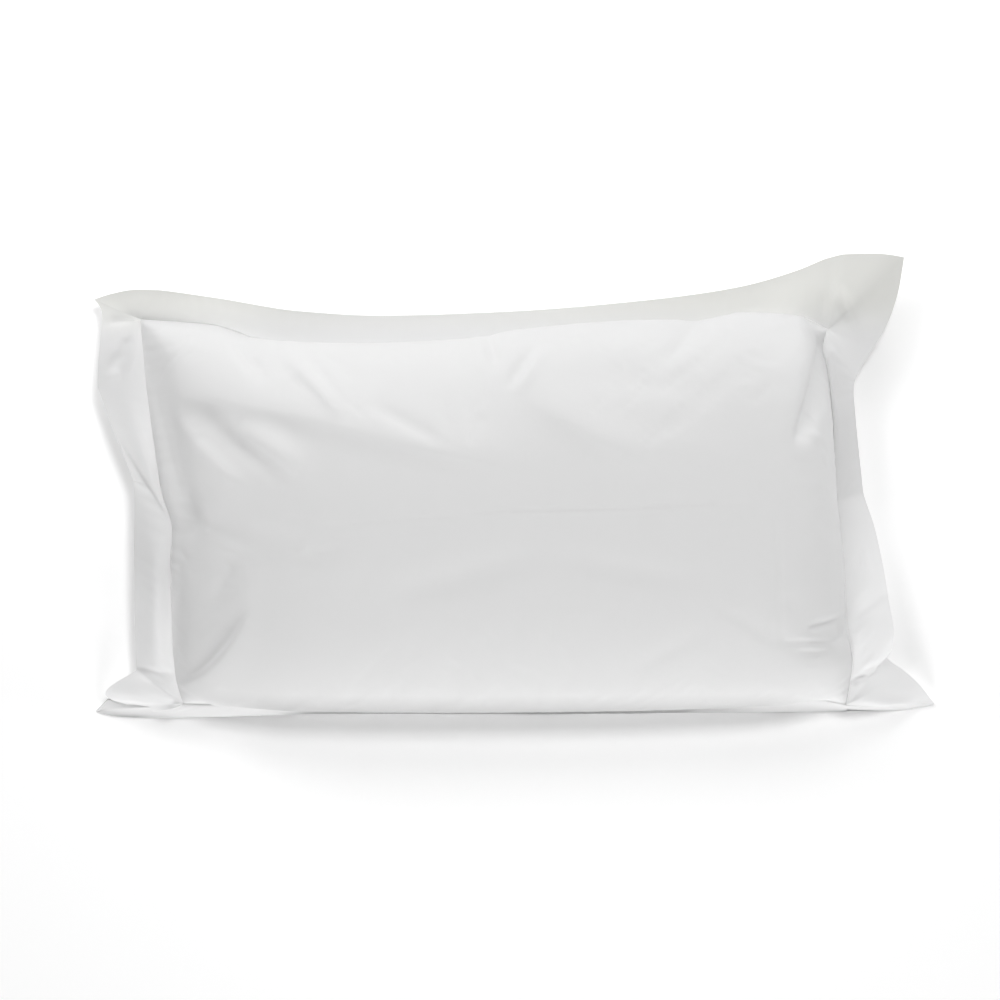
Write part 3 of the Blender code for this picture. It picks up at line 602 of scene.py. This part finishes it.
def cotton(name, colour, painted_upper_tint):
    """Woven cotton that follows the piece's cloth coordinates, with its painted light and shade and a
    creamier tint painted along the upper side.
    """
    material = bpy.data.materials.new(name)
    material.use_nodes = True
    nodes, links = material.node_tree.nodes, material.node_tree.links
    shader = nodes["Principled BSDF"]
    shader.inputs["Roughness"].default_value = 0.85
    shader.inputs["Sheen Weight"].default_value = 0.12
    shader.inputs["Sheen Roughness"].default_value = 0.5

    place = nodes.new("ShaderNodeTexCoord")
    apart = nodes.new("ShaderNodeSeparateXYZ")
    # Painted light: a creamier tint painted in along the upper side.
    upper = nodes.new("ShaderNodeMapRange")
    upper.interpolation_type = "SMOOTHSTEP"
    upper.inputs["From Min"].default_value = PAINTED_TINT_FROM
    upper.inputs["From Max"].default_value = PAINTED_TINT_TO
    tint = nodes.new("ShaderNodeMix")
    tint.data_type = "RGBA"
    tint.inputs["A"].default_value = colour
    tint.inputs["B"].default_value = painted_upper_tint
    # Painted light and shade: the piece's painted shading attribute scales its colour.
    tone = nodes.new("ShaderNodeAttribute")
    tone.attribute_name = "tone"
    toned = nodes.new("ShaderNodeVectorMath")
    toned.operation = "SCALE"
    links.new(place.outputs["Object"], apart.inputs["Vector"])
    links.new(apart.outputs["Y"], upper.inputs["Value"])
    links.new(upper.outputs["Result"], tint.inputs["Factor"])
    links.new(tint.outputs["Result"], toned.inputs[0])
    links.new(tone.outputs["Fac"], toned.inputs["Scale"])
    links.new(toned.outputs[0], shader.inputs["Base Color"])

    cloth = nodes.new("ShaderNodeUVMap")
    cloth.uv_map = "cloth"
    warp = nodes.new("ShaderNodeTexWave")
    warp.bands_direction = "X"
    warp.inputs["Scale"].default_value = WARP_SCALE
    weft = nodes.new("ShaderNodeTexWave")
    weft.bands_direction = "Y"
    weft.inputs["Scale"].default_value = WEFT_SCALE
    slubs = nodes.new("ShaderNodeTexNoise")
    slubs.inputs["Scale"].default_value = SLUB_SCALE
    slubs.inputs["Detail"].default_value = 3
    weave = nodes.new("ShaderNodeMath")
    weave.operation = "MAXIMUM"
    uneven = nodes.new("ShaderNodeMath")
    uneven.operation = "MULTIPLY_ADD"
    uneven.inputs[1].default_value = SLUB_SHARE
    threads = nodes.new("ShaderNodeBump")
    threads.inputs["Strength"].default_value = 0.25
    threads.inputs["Distance"].default_value = 0.0002
    crumple = nodes.new("ShaderNodeTexNoise")
    crumple.inputs["Scale"].default_value = CRUMPLE_SCALE
    crumple.inputs["Detail"].default_value = 4
    crumple.inputs["Roughness"].default_value = 0.45
    creases = nodes.new("ShaderNodeBump")
    creases.inputs["Strength"].default_value = 0.35
    creases.inputs["Distance"].default_value = 0.0012
    for pattern in (warp, weft, slubs, crumple):
        links.new(cloth.outputs["UV"], pattern.inputs["Vector"])
    links.new(warp.outputs["Fac"], weave.inputs[0])
    links.new(weft.outputs["Fac"], weave.inputs[1])
    links.new(slubs.outputs["Fac"], uneven.inputs[0])
    links.new(weave.outputs[0], uneven.inputs[2])
    links.new(uneven.outputs[0], threads.inputs["Height"])
    links.new(crumple.outputs["Fac"], creases.inputs["Height"])
    links.new(creases.outputs["Normal"], threads.inputs["Normal"])
    links.new(threads.outputs["Normal"], shader.inputs["Normal"])
    return material


def finish_piece(name, mesh, cloth_places, painted_shading_values, material):
    """A smooth-shaded object in the frame, with its cloth coordinates in metres and its painted light and
    shade.
    """
    layer = mesh.uv_layers.new(name="cloth")
    corner_vertices = np.empty(len(mesh.loops), int)
    mesh.loops.foreach_get("vertex_index", corner_vertices)
    layer.data.foreach_set("uv", cloth_places[corner_vertices].ravel())
    mesh.attributes.new("tone", "FLOAT", "POINT").data.foreach_set("value", painted_shading_values)
    points = np.empty(len(mesh.vertices) * 3)
    mesh.vertices.foreach_get("co", points)
    mesh.vertices.foreach_set("co", (points.reshape(-1, 3) + to_frame).ravel())
    mesh.materials.append(material)
    mesh.shade_smooth()
    mesh.update()
    made = bpy.data.objects.new(name, mesh)
    bpy.context.scene.collection.objects.link(made)
    return made


# Low on its lower side, over the border, the pocket takes less light, so painted shade darkens its colour
# there.
LOW_PAINTED_SHADE = 0.66
LOW_BAND_TOP = -0.178
LOW_BAND_FOOT = -0.201
LOW_BAND_CURVE = 1.2
LOW_BAND_START = 0.027  # cloth at each end that stays light
LOW_BAND_RISE = 0.09  # cloth along which the band then takes its whole tone

low = np.clip((LOW_BAND_TOP - front[..., 1]) / (LOW_BAND_TOP - LOW_BAND_FOOT), 0, 1) ** LOW_BAND_CURVE
low = np.maximum.accumulate(low[::-1])[::-1]
from_end = np.minimum(panel[..., 0], POCKET_LENGTH - panel[..., 0])
shade = 1 - (1 - LOW_PAINTED_SHADE) * low * np.clip((from_end - LOW_BAND_START) / LOW_BAND_RISE, 0, 1)
pocket = finish_piece(
    "pocket_cover",
    pocket_mesh("pocket_cover", front, back),
    np.vstack([panel.reshape(-1, 2), panel[~on_seam(front)]]),
    np.append(shade.ravel(), shade[~on_seam(front)]),
    cotton("pocket cotton", POCKET_WHITE, POCKET_PAINTED_UPPER_TINT),
)
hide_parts("filled_pocket")
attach(pocket, "root")

# The border
# The panels' margins, 7 cm wide, are stitched to each other and stand out round the pocket as one
# sheet. The lower one hangs to the floor, and the others wave and turn up at the corners.
BORDER_THICKNESS = 0.0013
STITCHED_THICKNESS = 0.0009  # where the stitches press the layers together
PRESSED_SHARE = 0.12  # share of the border's width that they press
SEAM_GAP = 0.0002
BORDER_STEPS = np.linspace(0, 1, 25)  # shares of the way out from the seam
HANG_MARGIN = 0.02  # share of the lower side by which its hang runs on past each corner
HANG_RISE = 3  # how soon the hang is full, away from the corners
HANG_CURVE = 1.2
FOLDS_FREE = 0.3  # share of the border's width along which its folds rise from the seam
BORDER_PUCKER_DEPTH = 0.00035
BORDER_PUCKER_REACH = 0.04
BORDER_WHITE = (0.765, 0.765, 0.766, 1)
# The creamier colour along the border's upper side is painted light.
BORDER_PAINTED_UPPER_TINT = (0.765, 0.766, 0.737, 1)
SHARP_EDGE = math.radians(60)

BORDER_FOLDS = (
    Fold(-0.386, 0.188, -0.404, 0.153, -0.002, -0.0037, 0.008, 0.007),
    Fold(-0.375, 0.199, -0.387, 0.143, 0.000, 0.0031, 0.008, 0.008),
    Fold(-0.413, 0.146, -0.396, 0.149, 0.000, 0.0027, 0.007, 0.007),
    Fold(-0.408, 0.203, -0.382, 0.208, 0.000, -0.0034, 0.007, 0.005),
    Fold(-0.390, 0.122, -0.356, 0.016, 0.000, 0.0043, 0.008, 0.010),
    Fold(-0.396, 0.071, -0.351, -0.001, 0.000, -0.0044, 0.003, 0.013),
    Fold(-0.360, -0.031, -0.364, -0.158, 0.000, 0.0060, 0.009, 0.010),
    Fold(-0.388, -0.169, -0.345, -0.172, 0.000, -0.0034, 0.005, 0.008),
    Fold(0.352, 0.239, 0.371, 0.207, 0.000, 0.0051, 0.007, 0.007),
    Fold(0.348, 0.174, 0.369, 0.117, -0.003, -0.0034, 0.010, 0.010),
    Fold(0.343, 0.174, 0.354, 0.069, 0.000, 0.0041, 0.006, 0.004),
    Fold(0.359, 0.017, 0.387, 0.024, 0.000, -0.0024, 0.008, 0.009),
    Fold(0.364, -0.122, 0.419, -0.085, 0.000, -0.0041, 0.010, 0.010),
    Fold(0.385, -0.033, 0.390, -0.065, 0.000, -0.0020, 0.005, 0.005),
    Fold(0.387, -0.170, 0.415, -0.160, 0.000, -0.0034, 0.004, 0.006),
    Fold(0.373, -0.178, 0.401, -0.174, 0.000, -0.0037, 0.003, 0.004),
    Fold(0.378, 0.205, 0.402, 0.188, 0.000, 0.0025, 0.009, 0.009),
    Fold(0.396, -0.192, 0.457, -0.211, 0.000, -0.0020, 0.007, 0.007),
    Fold(0.381, -0.205, 0.463, -0.212, -0.004, -0.0020, 0.003, 0.003),
    Fold(-0.234, -0.223, -0.237, -0.229, 0.000, 0.0025, 0.023, 0.023),
    Fold(-0.115, -0.225, -0.115, -0.230, 0.000, -0.0025, 0.025, 0.025),
    Fold(0.049, -0.224, 0.049, -0.230, 0.000, 0.0025, 0.025, 0.025),
    Fold(0.197, -0.225, 0.197, -0.230, 0.000, -0.0025, 0.022, 0.022),
    Fold(0.311, -0.224, 0.311, -0.230, 0.000, 0.0025, 0.020, 0.020),
)

# Where the cloth lies: rows of points run out from the seam, and fan round its corners.
sides = (front[0, :], front[:, -1], front[-1, ::-1], front[::-1, 0])
seam = np.concatenate([np.vstack([side, np.repeat(side[-1:], CORNER_CELLS - 1, axis=0)]) for side in sides])
outward = edge[:, :2] - seam[:, :2]
outward /= np.linalg.norm(outward, axis=1, keepdims=True)
start = seam[:, :2] + outward * SEAM_GAP
step = BORDER_STEPS[:, None]
flat = start + (edge[:, :2] - start) * step[..., None]

# How high it lies: down or out to its edge, with the arch, the folds and the puckers on the way.
along_lower = np.clip((stations + HANG_MARGIN) / (1 + 2 * HANG_MARGIN), 0, 1)
hanging = np.clip(HANG_RISE * np.sin(math.pi * along_lower), 0, 1) * (stations < 1)
drop = (1 - hanging) * step**2 * (3 - 2 * step) + hanging * step**HANG_CURVE
height = seam[:, 2] + (edge[:, 2] - seam[:, 2]) * drop
height += edge[:, 3] * np.sin(math.pi * step)
free = np.sin(math.pi / 2 * np.clip(step / FOLDS_FREE, 0, 1))
height += fold_relief(BORDER_FOLDS, flat[..., 0], flat[..., 1]) * free
sewn_length = np.cumsum(np.linalg.norm(np.diff(seam, axis=0, prepend=seam[:1]), axis=1))
from_seam = np.linalg.norm(flat - start, axis=-1)
pucker_swell = np.sin(math.pi * np.clip(from_seam / BORDER_PUCKER_REACH, 0, 1)) * free
height += BORDER_PUCKER_DEPTH * ripples(sewn_length, seed=7) * pucker_swell
sheet = np.concatenate([flat, np.maximum(height, BORDER_THICKNESS / 2)[..., None]], axis=-1)

# Its thickness: two layers, closed along the seam and along the edge.
turned = np.cross(np.gradient(sheet, axis=0), np.roll(sheet, -1, axis=1) - np.roll(sheet, 1, axis=1))
turned[0] = (0, 0, 1)
turned /= np.linalg.norm(turned, axis=-1, keepdims=True)
plump = np.clip(BORDER_STEPS / PRESSED_SHARE, 0, 1)
half = (STITCHED_THICKNESS + (BORDER_THICKNESS - STITCHED_THICKNESS) * plump)[:, None, None] / 2

upper = np.arange(sheet[..., 0].size).reshape(sheet.shape[:2])
lower = upper + upper.size
faces = []
for layer, looks_up in ((upper, True), (lower, False)):
    ring = (layer[:-1], layer[1:], np.roll(layer[1:], -1, axis=1), np.roll(layer[:-1], -1, axis=1))
    faces.append(np.stack(ring if looks_up else ring[::-1], axis=-1).reshape(-1, 4))
for end, outer in ((0, False), (-1, True)):
    ring = (upper[end], lower[end], np.roll(lower[end], -1), np.roll(upper[end], -1))
    faces.append(np.stack(ring if outer else ring[::-1], axis=-1))
border_mesh = bpy.data.meshes.new("border_cloth")
border_points = np.vstack([(sheet + turned * half).reshape(-1, 3), (sheet - turned * half).reshape(-1, 3)])
border_mesh.from_pydata(border_points.tolist(), [], np.vstack(faces).tolist())
# The border's colour is scaled by painted light and shade from the edge table's last column.
border = finish_piece(
    "border_cloth",
    border_mesh,
    border_points[:, :2],
    np.tile(edge[:, 4], 2 * len(BORDER_STEPS)),
    cotton("border cotton", BORDER_WHITE, BORDER_PAINTED_UPPER_TINT),
)
border_mesh.set_sharp_from_angle(angle=SHARP_EDGE)
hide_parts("border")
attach(border, "root")

# The topstitching
# One row of white cotton stitches, 2 to 3 mm outside the seam, holds the border's two layers flat.
# Each stitch is a small spindle of twisted thread that lies on the cloth.
STITCH_PITCH = 0.0028
STITCH_LENGTH = 0.0021
THREAD_THICKNESS = 0.00042
THREAD_WHITE = (0.78, 0.78, 0.77, 1)


def stitching_tree():
    """Geometry Nodes that lay a stitch along a path at every pitch."""
    tree = bpy.data.node_groups.new("stitching", "GeometryNodeTree")
    tree.is_modifier = True
    face = tree.interface
    face.new_socket("Path", in_out="INPUT", socket_type="NodeSocketGeometry")
    for name in ("Pitch", "Stitch length", "Thread thickness"):
        face.new_socket(name, in_out="INPUT", socket_type="NodeSocketFloat")
    face.new_socket("Thread", in_out="INPUT", socket_type="NodeSocketMaterial")
    face.new_socket("Stitches", in_out="OUTPUT", socket_type="NodeSocketGeometry")
    nodes, links = tree.nodes, tree.links
    given = nodes.new("NodeGroupInput")
    result = nodes.new("NodeGroupOutput")
    curve = nodes.new("GeometryNodeMeshToCurve")
    spaced = nodes.new("GeometryNodeResampleCurve")
    spaced.mode = "LENGTH"
    stitch = nodes.new("GeometryNodeMeshUVSphere")
    stitch.inputs["Segments"].default_value = 6
    stitch.inputs["Rings"].default_value = 4
    stitch.inputs["Radius"].default_value = 0.5
    size = nodes.new("ShaderNodeCombineXYZ")
    tangent = nodes.new("GeometryNodeInputTangent")
    turn = nodes.new("FunctionNodeAlignRotationToVector")
    turn.axis = "X"
    placed = nodes.new("GeometryNodeInstanceOnPoints")
    real = nodes.new("GeometryNodeRealizeInstances")
    thread = nodes.new("GeometryNodeSetMaterial")
    links.new(given.outputs["Path"], curve.inputs["Mesh"])
    links.new(curve.outputs["Curve"], spaced.inputs["Curve"])
    links.new(given.outputs["Pitch"], spaced.inputs["Length"])
    links.new(given.outputs["Stitch length"], size.inputs["X"])
    links.new(given.outputs["Thread thickness"], size.inputs["Y"])
    links.new(given.outputs["Thread thickness"], size.inputs["Z"])
    links.new(tangent.outputs["Tangent"], turn.inputs["Vector"])
    links.new(spaced.outputs["Curve"], placed.inputs["Points"])
    links.new(stitch.outputs["Mesh"], placed.inputs["Instance"])
    links.new(turn.outputs["Rotation"], placed.inputs["Rotation"])
    links.new(size.outputs["Vector"], placed.inputs["Scale"])
    links.new(placed.outputs["Instances"], real.inputs["Geometry"])
    links.new(real.outputs["Geometry"], thread.inputs["Geometry"])
    links.new(given.outputs["Thread"], thread.inputs["Material"])
    links.new(thread.outputs["Geometry"], result.inputs["Stitches"])
    return tree


def thread_finish():
    """White cotton thread with a fine slanting twist."""
    material = bpy.data.materials.new("white thread")
    material.use_nodes = True
    nodes, links = material.node_tree.nodes, material.node_tree.links
    shader = nodes["Principled BSDF"]
    shader.inputs["Base Color"].default_value = THREAD_WHITE
    shader.inputs["Roughness"].default_value = 0.6
    shader.inputs["Sheen Weight"].default_value = 0.2
    place = nodes.new("ShaderNodeTexCoord")
    twist = nodes.new("ShaderNodeTexWave")
    twist.bands_direction = "DIAGONAL"
    twist.inputs["Scale"].default_value = 900
    bump = nodes.new("ShaderNodeBump")
    bump.inputs["Strength"].default_value = 0.3
    bump.inputs["Distance"].default_value = 0.0001
    links.new(place.outputs["Object"], twist.inputs["Vector"])
    links.new(twist.outputs["Fac"], bump.inputs["Height"])
    links.new(bump.outputs["Normal"], shader.inputs["Normal"])
    return material


# The row lies on the upper layer, one step out from the seam.
line = sheet[1] + turned[1] * half[1] + to_frame
count = len(line)
path = bpy.data.meshes.new("stitch_path")
path.from_pydata(line.tolist(), [(number, (number + 1) % count) for number in range(count)], [])
laid = bpy.data.objects.new("stitch_path", path)
bpy.context.scene.collection.objects.link(laid)
sewing = laid.modifiers.new("sewing", "NODES")
sewing.node_group = stitching_tree()
sockets = sewing.node_group.interface.items_tree
given = {socket.name: socket.identifier for socket in sockets if socket.in_out == "INPUT"}
sewing[given["Pitch"]] = STITCH_PITCH
sewing[given["Stitch length"]] = STITCH_LENGTH
sewing[given["Thread thickness"]] = THREAD_THICKNESS
sewing[given["Thread"]] = thread_finish()
seen = laid.evaluated_get(bpy.context.evaluated_depsgraph_get())
stitches_mesh = bpy.data.meshes.new_from_object(seen)
stitches_mesh.shade_smooth()
bpy.data.objects.remove(laid, do_unlink=True)
stitches = bpy.data.objects.new("seam_topstitching", stitches_mesh)
bpy.context.scene.collection.objects.link(stitches)
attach(stitches, "root")

# The floor and the light
# A white studio floor with a faint glow of its own, so that it stays white around the pillow.
# The key lights stand high beyond the upper long side and low cards lift the lower side and ends.
FLOOR_REACH = 6.0
FLOOR_WHITE = (0.97, 0.97, 0.97, 1)
FLOOR_GLOW = 0.18
LIGHT_DISTANCE = 3.2

floor_mesh = bpy.data.meshes.new("floor")
floor_corners = [(FLOOR_REACH * x, FLOOR_REACH * y, 0) for x, y in ((-1, -1), (1, -1), (1, 1), (-1, 1))]
floor_mesh.from_pydata(floor_corners, [], [(0, 1, 2, 3)])
floor = bpy.data.objects.new("floor", floor_mesh)
bpy.context.scene.collection.objects.link(floor)
floor_white = bpy.data.materials.new("floor white")
floor_white.use_nodes = True
floor_shader = floor_white.node_tree.nodes["Principled BSDF"]
floor_shader.inputs["Base Color"].default_value = FLOOR_WHITE
floor_shader.inputs["Roughness"].default_value = 0.9
floor_shader.inputs["Emission Color"].default_value = (1, 1, 1, 1)
floor_shader.inputs["Emission Strength"].default_value = FLOOR_GLOW
floor_mesh.materials.append(floor_white)

# Square soft lights that look at the pillow. Bearing and elevation are in degrees, size in metres,
# and power in watts. The powers came from a fit of the render's brightness to the photograph's.
Light = namedtuple("Light", "name bearing elevation size power")
LIGHTS = (
    Light("high key light", 72, 66, 0.5, 42),
    Light("upper side light", 90, 45, 1.2, 19),
    Light("side light", 125, 40, 1.2, 36),
    Light("right end card", 0, 12, 1.2, 29),
    Light("left end card", 180, 12, 1.2, 9),
    Light("lower edge card", -90, 8, 1.2, 100),
)

for light in LIGHTS:
    glow = bpy.data.lights.new(light.name, "AREA")
    glow.size = light.size
    glow.energy = light.power
    lamp = bpy.data.objects.new(light.name, glow)
    turn, lift = math.radians(light.bearing), math.radians(light.elevation)
    towards = Vector((math.cos(lift) * math.cos(turn), math.cos(lift) * math.sin(turn), math.sin(lift)))
    lamp.location = LIGHT_DISTANCE * towards
    lamp.rotation_euler = towards.to_track_quat("Z", "Y").to_euler()
    bpy.context.scene.collection.objects.link(lamp)

# No light comes from the surroundings.
world = bpy.data.worlds.new("dark studio")
world.use_nodes = True
world.node_tree.nodes["Background"].inputs["Strength"].default_value = 0.0
bpy.context.scene.world = world
bpy.context.scene.view_settings.view_transform = "Standard"
